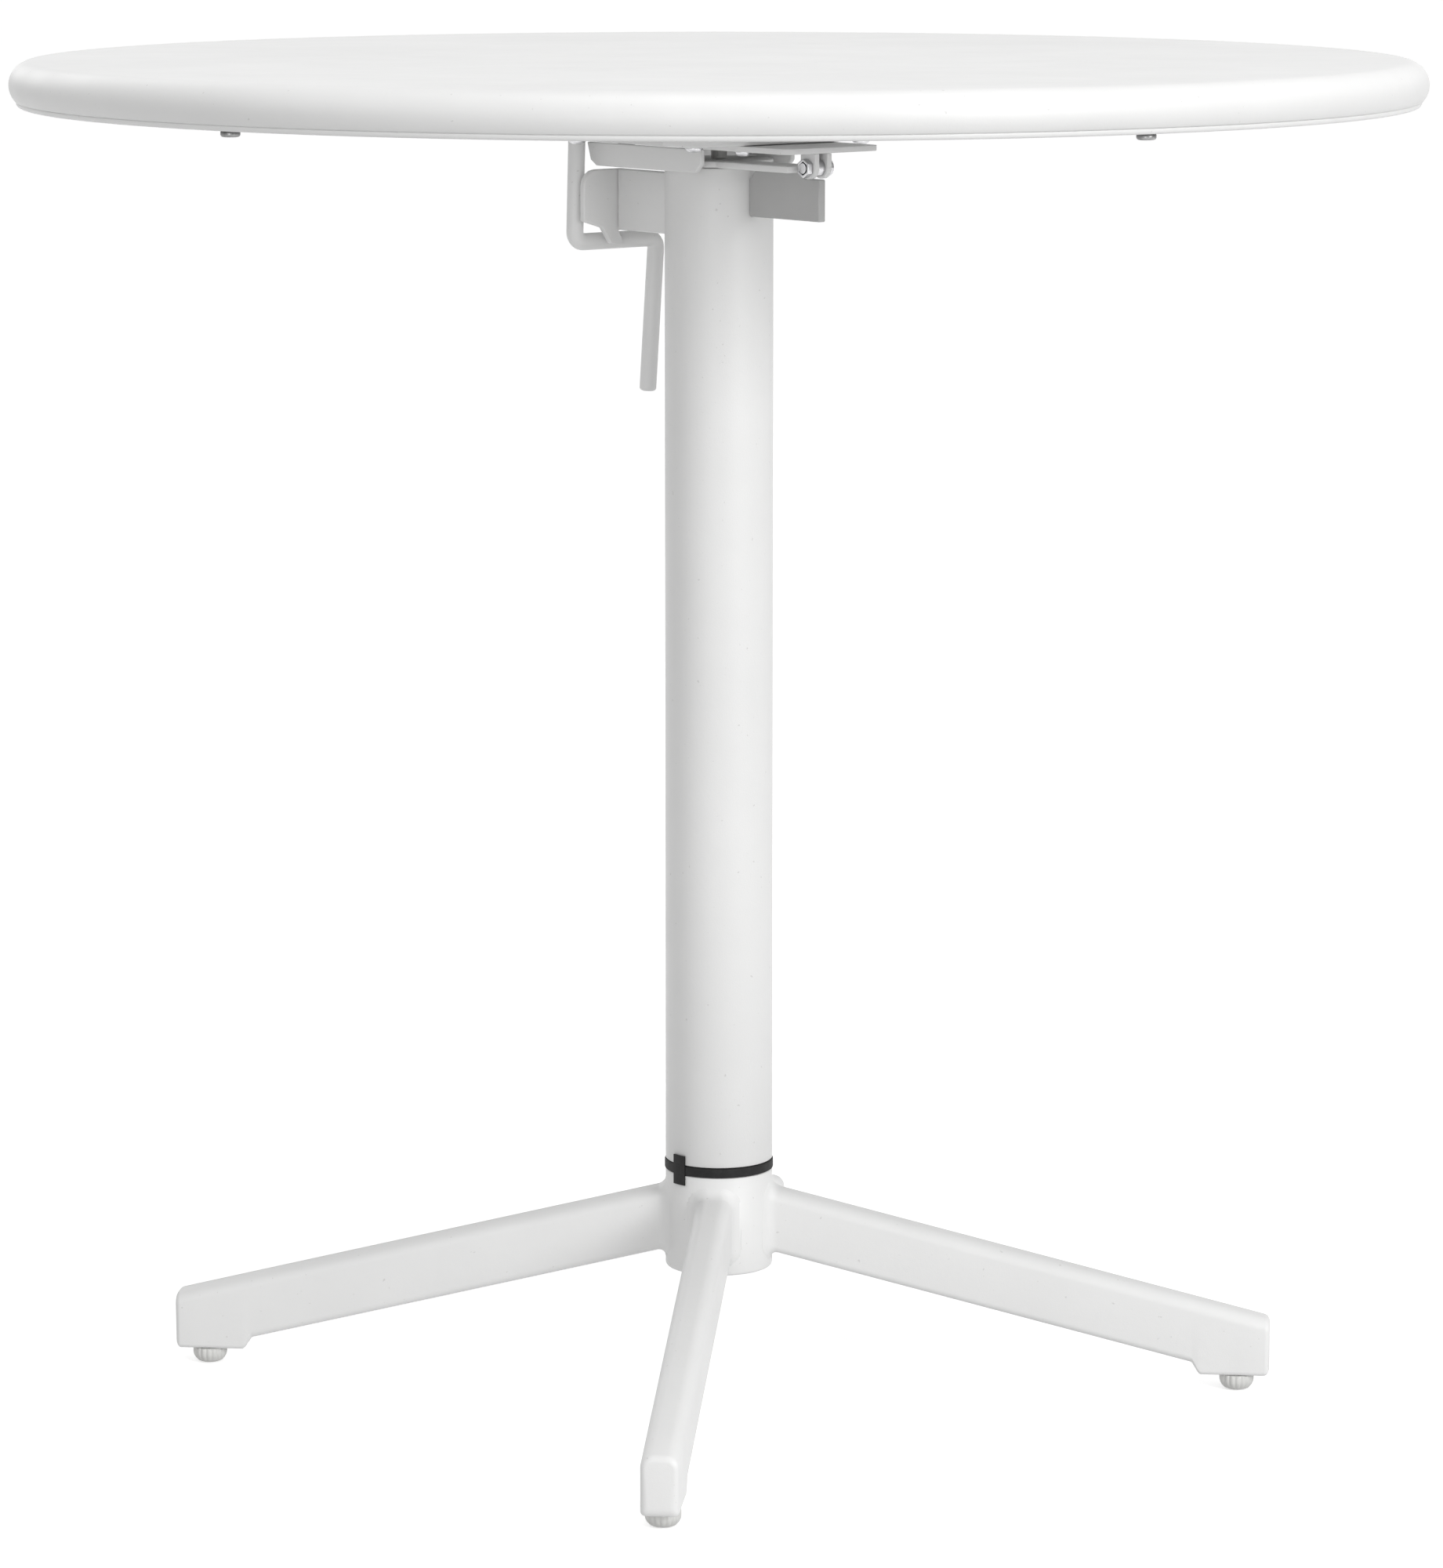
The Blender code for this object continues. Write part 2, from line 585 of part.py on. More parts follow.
# --- latch -----------------------------------------------------------------------
def make_latch(white, steel, tilt, latch):
    """Bent-rod bail that swings in a bearing block under the top."""
    block = box((-0.033, -0.018), (LATCH_V - 0.009, LATCH_V + 0.009), (RAIL_LOW, RAIL_HIGH), 0.001)
    bearing = add_object("latch_bearing", block, white, HEAD, tilt)
    across = HEAD @ at(0.0, LATCH_V, LATCH_Z) @ Matrix.Rotation(math.pi / 2, 4, "Y")
    boolean(bearing, cutter("latch_bore", lathe(disc_profile(ROD_RADIUS + GAP, -0.05, 0.0), 24), across))
    corners = [Vector(point) for point in (
        (-0.004, LATCH_V, LATCH_Z), (-0.0395, LATCH_V, LATCH_Z), (-0.0415, LATCH_V, 0.628),
        (0.0157, LATCH_V, 0.628), (0.0095, LATCH_V, 0.543))]
    bail = rod(bent_path(corners, 0.0055), ROD_RADIUS)
    add_object("latch_bail", bail, white, HEAD, latch)
    spring = tube_profile(ROD_RADIUS + GAP, ROD_RADIUS + 0.0021, -0.0175, -0.0100)
    add_object("latch_spring", lathe(spring, 24), steel, across, latch)
    collar = tube_profile(ROD_RADIUS + GAP, ROD_RADIUS + 0.0026, -0.0095, -0.0065)
    add_object("latch_collar", lathe(collar, 24), steel, across, latch)


def build():
    """Make the whole table."""
    clear_scene()
    white = material("white_powder_coat", (0.86, 0.86, 0.86), 0.45)
    top_white = material("white_top_skin", (0.88, 0.88, 0.88), 0.42)
    panel_white = material("white_under_panel", (0.84, 0.84, 0.84), 0.5)
    core = material("core_board_brown", (0.42, 0.31, 0.2), 0.85)
    steel = material("zinc_steel", (0.55, 0.55, 0.56), 0.3, 1.0)
    black = material("black_rubber", (0.015, 0.015, 0.015), 0.6)
    nylon = material("grey_white_nylon", (0.78, 0.78, 0.76), 0.5)

    make_hub(white)
    make_legs(white, nylon, steel)
    make_seal(black)
    make_pole(white, steel)
    make_head(white, steel, nylon)

    tilt = pivot("tilt_axis", head_point(0.0, HINGE_V, HINGE_Z))
    latch = pivot("latch_axis", head_point(0.0, LATCH_V, LATCH_Z))
    panel_bores = cutter("top_screw_bores", joined_pins(
        [head_point(u, v, 0.0) for u in (-PANEL_SCREW_U, PANEL_SCREW_U) for v in (-RAIL_V, RAIL_V)],
        SCREW_BORE, UNDERSIDE - 0.002, UNDERSIDE + 0.0135))
    make_top(top_white, panel_white, core, tilt, panel_bores)
    make_bracket(white, steel, tilt)
    make_hinge_bolt(steel, tilt)
    make_buttons(steel, tilt)
    make_latch(white, steel, tilt, latch)


build()
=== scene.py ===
"""Looks of the tilt-top bistro table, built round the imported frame.

The large turned and cast pieces are remade finely in place of their CAD nodes, the
plates are eased copies of theirs, and every surface has a procedural material.
"""
import json
import math

import bmesh
import bpy
from mathutils import Matrix, Vector, noise


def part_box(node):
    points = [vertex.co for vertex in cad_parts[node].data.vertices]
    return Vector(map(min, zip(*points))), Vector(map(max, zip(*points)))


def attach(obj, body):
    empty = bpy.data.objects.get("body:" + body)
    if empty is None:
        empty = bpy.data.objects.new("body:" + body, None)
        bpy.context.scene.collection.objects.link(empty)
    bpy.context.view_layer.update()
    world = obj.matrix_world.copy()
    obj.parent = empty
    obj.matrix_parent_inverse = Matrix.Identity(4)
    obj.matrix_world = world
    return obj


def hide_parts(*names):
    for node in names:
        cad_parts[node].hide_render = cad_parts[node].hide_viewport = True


# --- places and sizes that the frame does not give, in metres and radians ------------
HEAD_TURN = math.radians(39.3)
LEG_TURN = math.radians(-5.7)

CAMERA_PLACE = (-0.0017, -3.1129, 0.8618)
CAMERA_DOWN = math.radians(7.772)
CAMERA_LENS = 132.0
CAMERA_SHIFT = (0.0036, -0.12)
LIGHTS_AIM = (0.0, 0.0, 0.45)
SOFT_BOXES = (                  # name, place, side, power
    ("key_right", (2.9, -3.1, 1.7), 1.6, 97.0),
    ("fill_front", (-0.9, -4.2, 0.5), 1.6, 26.0),
    ("fill_back", (-2.4, 3.6, 2.2), 2.0, 22.0),
    ("fill_top", (0.2, -0.6, 4.2), 2.5, 55.0),
)
WORLD_STRENGTH = 0.56
FLOOR_GLOW = 0.42
BACKDROP_GLOW = 0.95
FLOOR_HALF = 60.0
FLOOR_DROP = 0.0002             # floor below the glides, so that the two do not flicker
BACKDROP_RADIUS = 45.0

RIM_ROUND = 0.0125
SKIN = 0.003
PANEL_REACH = 0.0007            # panel edge beyond its solid, flush with the skin
PANEL_ROUND = 0.0022
BUTTON_COUNT = 4
BUTTON_ROUND = 0.0014

POLE_WALL = 0.002
POLE_ROUND = 0.0008
HUB_WALL = 0.004
HUB_BULKHEAD = 0.006
HUB_BORE = 0.0055
HUB_ROUND = 0.0018
EASE = 0.0004                   # small bevel on turned edges
SOLID_GAP = 0.0003              # gap between neighbouring solids
SEAL_BORE = 0.0062
SEAL_PROUD = 0.0005
SEAL_ROUND = 0.0006
SEAL_TAB_BEARING = math.radians(270 - 47)
SEAL_TAB_HALF = math.radians(8.5)
SEAL_TAB_STEPS = 14

LEG_COUNT = 4
LEG_WIDTH = 0.020
LEG_DROP = 0.245
LEG_DEPTH = 0.0355
LEG_ROOT_BELOW_SEAL = 0.0103    # from the seal's lower edge to a leg's top line
LEG_START = 0.0046              # how far a leg reaches into the hub's wall
LEG_END = 0.305
LEG_CROWN = 0.0070
LEG_END_ROUND = 0.0030
LEG_SOLE = 0.0042
FOOT_SOLE = 0.0026
FOOT_BOTTOM = 0.009
FOOT_INNER = 0.267
WELD_FILLET = 0.0050
WELD_RIPPLE = 0.00028
GLIDE_AT = 0.287
STUD_CLEARANCE = 0.0003
FLUTES = 18
FLUTE_DEPTH = 0.00055

BAIL_RADIUS = 0.0047
BAIL_BEND = 0.0055
BAIL_TIP = 0.0016
BAIL_CORNERS = (                # along and across the head's line, and height
    (-0.004, 0.074, 0.695), (-0.0395, 0.074, 0.695), (-0.0415, 0.074, 0.628),
    (0.0157, 0.074, 0.628), (0.0095, 0.074, 0.543),
)
SPRING_TURNS = 5
SPRING_WIRE = 0.0007
SPRING_GAP = 0.0003             # inside and outside the coil
SPRING_FROM, SPRING_TO = -0.0170, -0.0106

SCREW_HEAD = 0.0026
SCREW_SHANK = 0.0025
RECESS_RADIUS = 0.0017
RECESS_DEPTH = 0.0014
RECESS_LOBES = 6
HEAD_WELD_FROM = math.radians(196.0)
HEAD_WELD_TURN = math.radians(58.0)
HEAD_WELD_STEPS = 60
SADDLE_WALL_INNER = 0.0300      # inner face of the saddle wall, from the pole's axis
WALL_CLEARANCE = 0.0003

PLATE_EASE = 0.0007
CHAMFERED_EASE = 0.00018        # for plates whose solids already have chamfers
SMALL_EASE = 0.0003
EASE_ABOVE = math.radians(38)   # edges sharper than this are eased

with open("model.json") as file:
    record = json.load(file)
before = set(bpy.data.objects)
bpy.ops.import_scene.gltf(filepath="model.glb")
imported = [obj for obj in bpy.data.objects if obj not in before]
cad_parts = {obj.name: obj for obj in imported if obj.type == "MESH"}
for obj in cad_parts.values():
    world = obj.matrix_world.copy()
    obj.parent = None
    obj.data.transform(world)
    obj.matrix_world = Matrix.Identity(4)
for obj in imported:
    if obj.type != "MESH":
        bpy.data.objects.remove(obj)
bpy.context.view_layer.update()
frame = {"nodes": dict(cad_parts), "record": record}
HEAD = Matrix.Rotation(HEAD_TURN, 4, "Z")


# --- camera, light and floor -------------------------------------------------------
def make_camera():
    """Camera in front of the table, a little above the top, looking slightly down."""
    data = bpy.data.cameras.new("photo_camera")
    data.sensor_fit = "AUTO"
    data.sensor_width = 36.0
    data.lens = CAMERA_LENS
    data.shift_x, data.shift_y = CAMERA_SHIFT
    camera = bpy.data.objects.new("photo_camera", data)
    camera.location = CAMERA_PLACE
    camera.rotation_euler = (math.pi / 2 - CAMERA_DOWN, 0.0, 0.0)
    bpy.context.scene.collection.objects.link(camera)
    bpy.context.scene.camera = camera


def area_light(name, place, size, power):
    """A square soft box aimed at the middle of the table."""
    data = bpy.data.lights.new(name, "AREA")
    data.shape = "SQUARE"
    data.size = size
    data.energy = power
    light = bpy.data.objects.new(name, data)
    light.location = place
    aim = Vector(LIGHTS_AIM) - Vector(place)
    light.rotation_euler = aim.to_track_quat("-Z", "Y").to_euler()
    bpy.context.scene.collection.objects.link(light)


def make_studio():
    """Pale floor, far backdrop, even white surroundings and four soft boxes."""
    world = bpy.data.worlds.new("studio")
    world.use_nodes = True
    background = world.node_tree.nodes["Background"]
    background.inputs["Color"].default_value = (1.0, 1.0, 1.0, 1.0)
    background.inputs["Strength"].default_value = WORLD_STRENGTH
    bpy.context.scene.world = world
    bpy.context.scene.view_settings.view_transform = "Standard"
    for box in SOFT_BOXES:
        area_light(*box)

    bm = bmesh.new()
    bmesh.ops.create_grid(bm, x_segments=2, y_segments=2, size=FLOOR_HALF)
    mesh = bpy.data.meshes.new("studio_floor")
    bm.to_mesh(mesh)
    bm.free()
    floor = bpy.data.objects.new("studio_floor", mesh)
    floor.location.z = -FLOOR_DROP
    floor.visible_diffuse = False
    mesh.materials.append(floor_material())
    bpy.context.scene.collection.objects.link(floor)
    make_backdrop()


def make_backdrop():
    """Pale wall far away all round, so that low views have no horizon."""
    bm = bmesh.new()
    bmesh.ops.create_cone(bm, cap_ends=False, segments=96, radius1=BACKDROP_RADIUS,
                          radius2=BACKDROP_RADIUS, depth=2 * BACKDROP_RADIUS)
    mesh = bpy.data.meshes.new("studio_backdrop")
    bm.to_mesh(mesh)
    bm.free()
    mesh.shade_smooth()
    wall = bpy.data.objects.new("studio_backdrop", mesh)
    wall.visible_diffuse = False
    wall.visible_shadow = False
    mesh.materials.append(backdrop_material())
    bpy.context.scene.collection.objects.link(wall)


# --- materials ----------------------------------------------------------------------
class Nodes:
    """Short-hand for building one Principled material."""

    def __init__(self, name):
        self.material = bpy.data.materials.new(name)
        self.material.use_nodes = True
        self.tree = self.material.node_tree
        self.shader = self.tree.nodes["Principled BSDF"]
        self.coords = self.add("ShaderNodeTexCoord").outputs["Object"]

    def add(self, kind, **values):
        """Add a node and set its plain inputs by name."""
        node = self.tree.nodes.new(kind)
        for key, value in values.items():
            node.inputs[key].default_value = value
        return node

    def link(self, source, target):
        """Join two sockets."""
        self.tree.links.new(source, target)

    def noise(self, scale, detail=3.0, rough=0.5, stretch=None):
        """Noise factor on the object's own coordinates."""
        node = self.add("ShaderNodeTexNoise", Scale=scale, Detail=detail, Roughness=rough)
        source = self.coords
        if stretch:
            mapping = self.add("ShaderNodeMapping")
            mapping.inputs["Scale"].default_value = stretch
            self.link(self.coords, mapping.inputs["Vector"])
            source = mapping.outputs["Vector"]
        self.link(source, node.inputs["Vector"])
        return node.outputs["Fac"]

    def spread(self, factor, low, high, start=0.0, end=1.0):
        """Map a factor to a range of values."""
        node = self.add("ShaderNodeMapRange")
        node.inputs["From Min"].default_value = start
        node.inputs["From Max"].default_value = end
        node.inputs["To Min"].default_value = low
        node.inputs["To Max"].default_value = high
        self.link(factor, node.inputs["Value"])
        return node.outputs["Result"]

    def blend(self, factor, first, second):
        """Mix two colours or sockets by a factor."""
        node = self.tree.nodes.new("ShaderNodeMix")
        node.data_type = "RGBA"
        self.link(factor, node.inputs[0])
        for socket, colour in ((node.inputs[6], first), (node.inputs[7], second)):
            if isinstance(colour, tuple):
                socket.default_value = (*colour, 1.0)
            else:
                self.link(colour, socket)
        return node.outputs[2]

    def bump(self, height, distance, strength=1.0, under=None):
        """Bump from a height factor, on top of another bump."""
        node = self.add("ShaderNodeBump", Strength=strength, Distance=distance)
        self.link(height, node.inputs["Height"])
        if under:
            self.link(under, node.inputs["Normal"])
        return node.outputs["Normal"]

    def finish(self, colour, roughness, normal):
        """Join colour, roughness and normal to the shader."""
        self.link(colour, self.shader.inputs["Base Color"])
        self.link(roughness, self.shader.inputs["Roughness"])
        self.link(normal, self.shader.inputs["Normal"])
        return self.material


def floor_material():
    """Seamless pale paper with a hardly visible mottle."""
    nodes = Nodes("pale_floor")
    colour = nodes.blend(nodes.noise(3.0), (0.93, 0.93, 0.93), (0.95, 0.95, 0.95))
    roughness = nodes.spread(nodes.noise(40.0), 0.85, 0.95)
    nodes.shader.inputs["Emission Color"].default_value = (1.0, 1.0, 1.0, 1.0)
    nodes.shader.inputs["Emission Strength"].default_value = FLOOR_GLOW
    return nodes.finish(colour, roughness, nodes.bump(nodes.noise(700.0), 0.0001, 0.2))


def backdrop_material():
    """Evenly lit pale paper."""
    nodes = Nodes("pale_backdrop")
    colour = nodes.blend(nodes.noise(0.05), (0.020, 0.020, 0.020), (0.025, 0.025, 0.025))
    roughness = nodes.spread(nodes.noise(0.4), 0.9, 0.95)
    nodes.shader.inputs["Specular IOR Level"].default_value = 0.0
    nodes.shader.inputs["Emission Color"].default_value = (1.0, 1.0, 1.0, 1.0)
    nodes.shader.inputs["Emission Strength"].default_value = BACKDROP_GLOW
    return nodes.finish(colour, roughness, nodes.bump(nodes.noise(0.5), 0.01, 0.1))


def powder_coat(name, light, grain, peel):
    """White coating: orange-peel bump, fine grain, faint marks and duller patches."""
    nodes = Nodes(name)
    tone = tuple(light * share for share in (1.0, 1.0, 0.995))
    dull = tuple(light * share for share in (0.955, 0.955, 0.95))
    patches = nodes.spread(nodes.noise(9.0, 5.0, 0.6), 0.0, 1.0, 0.35, 0.7)
    colour = nodes.blend(patches, tone, dull)
    speck = nodes.spread(nodes.noise(420.0, 1.0), 0.0, 0.35, 0.755, 0.80)
    colour = nodes.blend(speck, colour, (0.42, 0.41, 0.40))
    wear = nodes.add("ShaderNodeNewGeometry").outputs["Pointiness"]
    edge = nodes.spread(wear, 0.0, 0.18, 0.56, 0.66)
    colour = nodes.blend(edge, colour, (0.70, 0.70, 0.69))
    roughness = nodes.spread(nodes.noise(30.0, 4.0, 0.65), 0.36, 0.56)
    low = nodes.bump(nodes.noise(260.0, 2.0), 0.00012, peel)
    normal = nodes.bump(nodes.noise(1500.0, 2.0), 0.00006, grain, low)
    nodes.shader.inputs["Specular IOR Level"].default_value = 0.45
    return nodes.finish(colour, roughness, normal)


def bright_zinc(name, clear=(0.62, 0.62, 0.63), dull=(0.40, 0.40, 0.41)):
    """Bright plated steel with fine turning marks and cloudy dull patches."""
    nodes = Nodes(name)
    cloud = nodes.spread(nodes.noise(180.0, 4.0, 0.6), 0.0, 1.0, 0.35, 0.7)
    colour = nodes.blend(cloud, clear, dull)
    marks = nodes.noise(900.0, 3.0, 0.6, (1.0, 1.0, 8.0))
    roughness = nodes.spread(marks, 0.18, 0.42)
    nodes.shader.inputs["Metallic"].default_value = 1.0
    return nodes.finish(colour, roughness, nodes.bump(marks, 0.00003, 0.5))


def black_rubber(name):
    """Matt rubber with a dusty bloom."""
    nodes = Nodes(name)
    bloom = nodes.spread(nodes.noise(220.0, 5.0, 0.7), 0.0, 1.0, 0.45, 0.8)
    colour = nodes.blend(bloom, (0.005, 0.005, 0.005), (0.016, 0.016, 0.016))
    roughness = nodes.spread(nodes.noise(90.0), 0.5, 0.75)
    nodes.shader.inputs["Specular IOR Level"].default_value = 0.3
    return nodes.finish(colour, roughness, nodes.bump(nodes.noise(1400.0), 0.00005, 0.4))


def moulded_nylon(name):
    """Slightly grey moulded nylon, scuffed towards the floor."""
    nodes = Nodes(name)
    split = nodes.add("ShaderNodeSeparateXYZ")
    nodes.link(nodes.coords, split.inputs["Vector"])
    scuffed = nodes.spread(split.outputs["Z"], 0.8, 0.0, 0.0, 0.005)
    scuffs = nodes.blend(nodes.noise(600.0, 4.0), (0.56, 0.56, 0.545), (0.42, 0.415, 0.40))
    colour = nodes.blend(scuffed, (0.62, 0.62, 0.605), scuffs)
    roughness = nodes.spread(nodes.noise(300.0), 0.38, 0.6)
    return nodes.finish(colour, roughness, nodes.bump(nodes.noise(1200.0), 0.00005, 0.4))


def raw_board(name):
    """Pressed board: flecks of light and dark wood."""
    nodes = Nodes(name)
    flecks = nodes.noise(160.0, 5.0, 0.7, (1.0, 3.0, 6.0))
    colour = nodes.blend(flecks, (0.30, 0.21, 0.13), (0.55, 0.42, 0.28))
    roughness = nodes.spread(flecks, 0.75, 0.9)
    return nodes.finish(colour, roughness, nodes.bump(flecks, 0.0003, 0.6))


def make_materials():
    """One finished material for each of the record's slots."""
    return {
        "white_powder_coat": powder_coat("white_powder_coat_look", 0.78, 0.85, 0.60),
        "top_white": powder_coat("top_white_look", 0.75, 0.70, 0.40),
        "panel_white": powder_coat("panel_white_look", 0.76, 0.65, 0.30),
        "core_board": raw_board("core_board_look"),
        "zinc_steel": bright_zinc("zinc_steel_look"),
        "black_rubber": black_rubber("black_rubber_look"),
        "grey_white_nylon": moulded_nylon("grey_white_nylon_look"),
    }


# --- mesh helpers --------------------------------------------------------------------
SLOT_OF = {part["node"]: part["material_slot"] for part in frame["record"]["subparts"]}
BODIES = frame["record"]["behaviour"]["bodies"]
BODY_OF = {node: body for body, nodes in BODIES.items() for node in nodes}


def add_piece(name, bm, node, replace=True, sharp=40.0, finish=None):
    """Finish a piece that stands for a CAD node and rides on its body."""
    bmesh.ops.recalc_face_normals(bm, faces=bm.faces)
    mesh = bpy.data.meshes.new(name)
    bm.to_mesh(mesh)
    bm.free()
    mesh.shade_smooth()
    mesh.set_sharp_from_angle(angle=math.radians(sharp))
    mesh.materials.append(finish or MATERIALS[SLOT_OF[node]])
    piece = bpy.data.objects.new(name, mesh)
    bpy.context.scene.collection.objects.link(piece)
    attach(piece, BODY_OF[node])
    if replace:
        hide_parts(node)
    return piece


def arc(x, y, radius, start, end, steps):
    """Points of an arc, in degrees."""
    turns = [math.radians(start + (end - start) * i / steps) for i in range(steps + 1)]
    return [(x + radius * math.cos(t), y + radius * math.sin(t)) for t in turns]


def lathe(profile, steps, place=None, ripple=None):
    """Turn a closed (radius, height) profile; ripple(angle, radius, height) moves the radius."""
    bm = bmesh.new()
    rings = []
    for radius, height in profile:
        if radius < 1e-6:
            rings.append([bm.verts.new((0.0, 0.0, height))])
            continue
        ring = []
        for k in range(steps):
            turn = 2 * math.pi * k / steps
            reach = ripple(turn, radius, height) if ripple else radius
            ring.append(bm.verts.new((reach * math.cos(turn), reach * math.sin(turn), height)))
        rings.append(ring)
    pairs = list(zip(rings, rings[1:]))
    if len(rings[0]) > 1 and len(rings[-1]) > 1:
        pairs.append((rings[-1], rings[0]))
    for low, high in pairs:
        for k in range(steps):
            corners = (low[k % len(low)], low[(k + 1) % len(low)],
                       high[(k + 1) % len(high)], high[k % len(high)])
            bm.faces.new(list(dict.fromkeys(corners)))
    if place:
        bmesh.ops.transform(bm, matrix=place, verts=bm.verts)
    return bm


def sweep(points, radius, sides):
    """Round bar along a line of points; radius is a number or one for each point."""
    bm = bmesh.new()
    turns = [2 * math.pi * k / sides for k in range(sides)]
    normal = None
    rings = []
    for i, point in enumerate(points):
        after, before = points[min(i + 1, len(points) - 1)], points[max(i - 1, 0)]
        along = (after - before).normalized()
        if normal is None:
            normal = along.orthogonal().normalized()
        normal = (normal - along * normal.dot(along)).normalized()
        side = along.cross(normal)
        reach = radius[i] if isinstance(radius, list) else radius
        rings.append([bm.verts.new(point + reach * (math.cos(t) * normal + math.sin(t) * side))
                      for t in turns])
    for low, high in zip(rings, rings[1:]):
        for k in range(sides):
            bm.faces.new((low[k - 1], low[k], high[k], high[k - 1]))
    bm.faces.new(rings[0])
    bm.faces.new(rings[-1])
    return bm


def bent_path(corners, bend, steps=10):
    """Points along straight runs joined by round bends."""
    points = [corners[0]]
    for before, corner, after in zip(corners, corners[1:], corners[2:]):
        into = (corner - before).normalized()
        out = (after - corner).normalized()
        turn = into.angle(out)
        start = corner - into * bend * math.tan(turn / 2)
        centre = start + (out - into * into.dot(out)).normalized() * bend
        axis = into.cross(out).normalized()
        spoke = start - centre
        points += [centre + Matrix.Rotation(turn * i / steps, 3, axis) @ spoke
                   for i in range(steps + 1)]
    points.append(corners[-1])
    return points


def eased_copy(node, width=PLATE_EASE, finish=None):
    """A copy of a plate's solid with eased edges, in place of the node."""
    bm = bmesh.new()
    bm.from_mesh(frame["nodes"][node].data)
    bmesh.ops.remove_doubles(bm, verts=bm.verts, dist=0.000002)
    bmesh.ops.dissolve_limit(bm, angle_limit=math.radians(1.0), verts=bm.verts, edges=bm.edges)
    sharp = [edge for edge in bm.edges
             if len(edge.link_faces) == 2 and edge.calc_face_angle() > EASE_ABOVE]
    bmesh.ops.bevel(bm, geom=sharp, offset=width, segments=3, profile=0.5, affect="EDGES",
                    clamp_overlap=True)
    add_piece(f"{node}_eased", bm, node, finish=finish)


# --- top -----------------------------------------------------------------------------
def make_top():
    """Moulded skin with its full round rim, and the panel that closes it below."""
    low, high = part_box("top_skin")
    outer = (high.x - low.x) / 2
    centre_r, centre_z = outer - RIM_ROUND, high.z - RIM_ROUND
    turn = math.degrees(math.asin(min(1.0, (centre_z - low.z) / RIM_ROUND)))
    crease = arc(centre_r, centre_z, RIM_ROUND, 90.0, -turn, 28)
    profile = [(reach, high.z) for reach in (0.0, 0.09, 0.18, 0.27, centre_r - 0.004)]
    profile += crease
    inner = arc(centre_r, centre_z, RIM_ROUND - SKIN, -turn, 90.0, 10)
    profile += [(crease[-1][0] - 0.0010, low.z - 0.0001), *inner, (0.0, high.z - SKIN)]
    add_piece("moulded_top", lathe(profile, 256), "top_skin", sharp=60.0)

    low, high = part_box("under_panel")
    edge = (high.x - low.x) / 2 + PANEL_REACH
    profile = [(reach, low.z) for reach in (0.0, 0.12, 0.24, edge - 0.016)]
    profile += arc(edge - PANEL_ROUND, low.z + PANEL_ROUND, PANEL_ROUND, -90.0, 0.0, 8)
    profile += [(edge, high.z), (edge - EASE, high.z + 0.0003), (0.0, high.z)]
    add_piece("rolled_under_panel", lathe(profile, 256), "under_panel", sharp=60.0)


def make_buttons():
    """Four domed buttons near the rim, of duller steel than the fasteners."""
    dark = bright_zinc("dulled_steel_look", (0.16, 0.16, 0.16), (0.30, 0.30, 0.30))
    for i in range(BUTTON_COUNT):
        node = f"rim_button_{i + 1}"
        low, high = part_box(node)
        middle = (low + high) / 2
        radius = (high.x - low.x) / 2
        rim = radius - BUTTON_ROUND
        profile = [(0.0, low.z), *arc(rim, low.z + BUTTON_ROUND, BUTTON_ROUND, -90.0, 0.0, 6)]
        profile += [(radius, high.z - 0.0006), (radius - EASE, high.z), (0.0, high.z)]
        place = Matrix.Translation((middle.x, middle.y, 0.0))
        add_piece(f"domed_button_{i + 1}", lathe(profile, 40, place), node, finish=dark)


# --- pole, hub and seal ---------------------------------------------------------------
def make_pole():
    """Pole tube with eased edges."""
    low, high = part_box("pole")
    radius = (high.x - low.x) / 2
    inner = radius - POLE_WALL
    profile = [(radius, low.z + EASE), (radius, low.z + 0.15), (radius, high.z - 0.15)]
    profile += arc(radius - POLE_ROUND, high.z - POLE_ROUND, POLE_ROUND, 0.0, 90.0, 5)
    profile += [(inner, high.z), (inner, low.z), (radius - EASE, low.z)]
    add_piece("pole_tube", lathe(profile, 160), "pole", sharp=50.0)


def make_hub():
    """Hub shell, open below, with an eased lower rim."""
    low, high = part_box("hub")
    radius = (high.x - low.x) / 2
    inner = radius - HUB_WALL
    bulkhead = high.z - HUB_BULKHEAD
    profile = arc(radius - HUB_ROUND, low.z + HUB_ROUND, HUB_ROUND, -90.0, 0.0, 6)
    profile += [(radius, high.z - EASE), (radius - EASE, high.z)]
    profile += [(HUB_BORE, high.z), (HUB_BORE, bulkhead)]
    profile += [(inner, bulkhead), (inner, low.z + 0.001), (inner + 0.001, low.z)]
    add_piece("hub_shell", lathe(profile, 160), "hub", sharp=50.0)


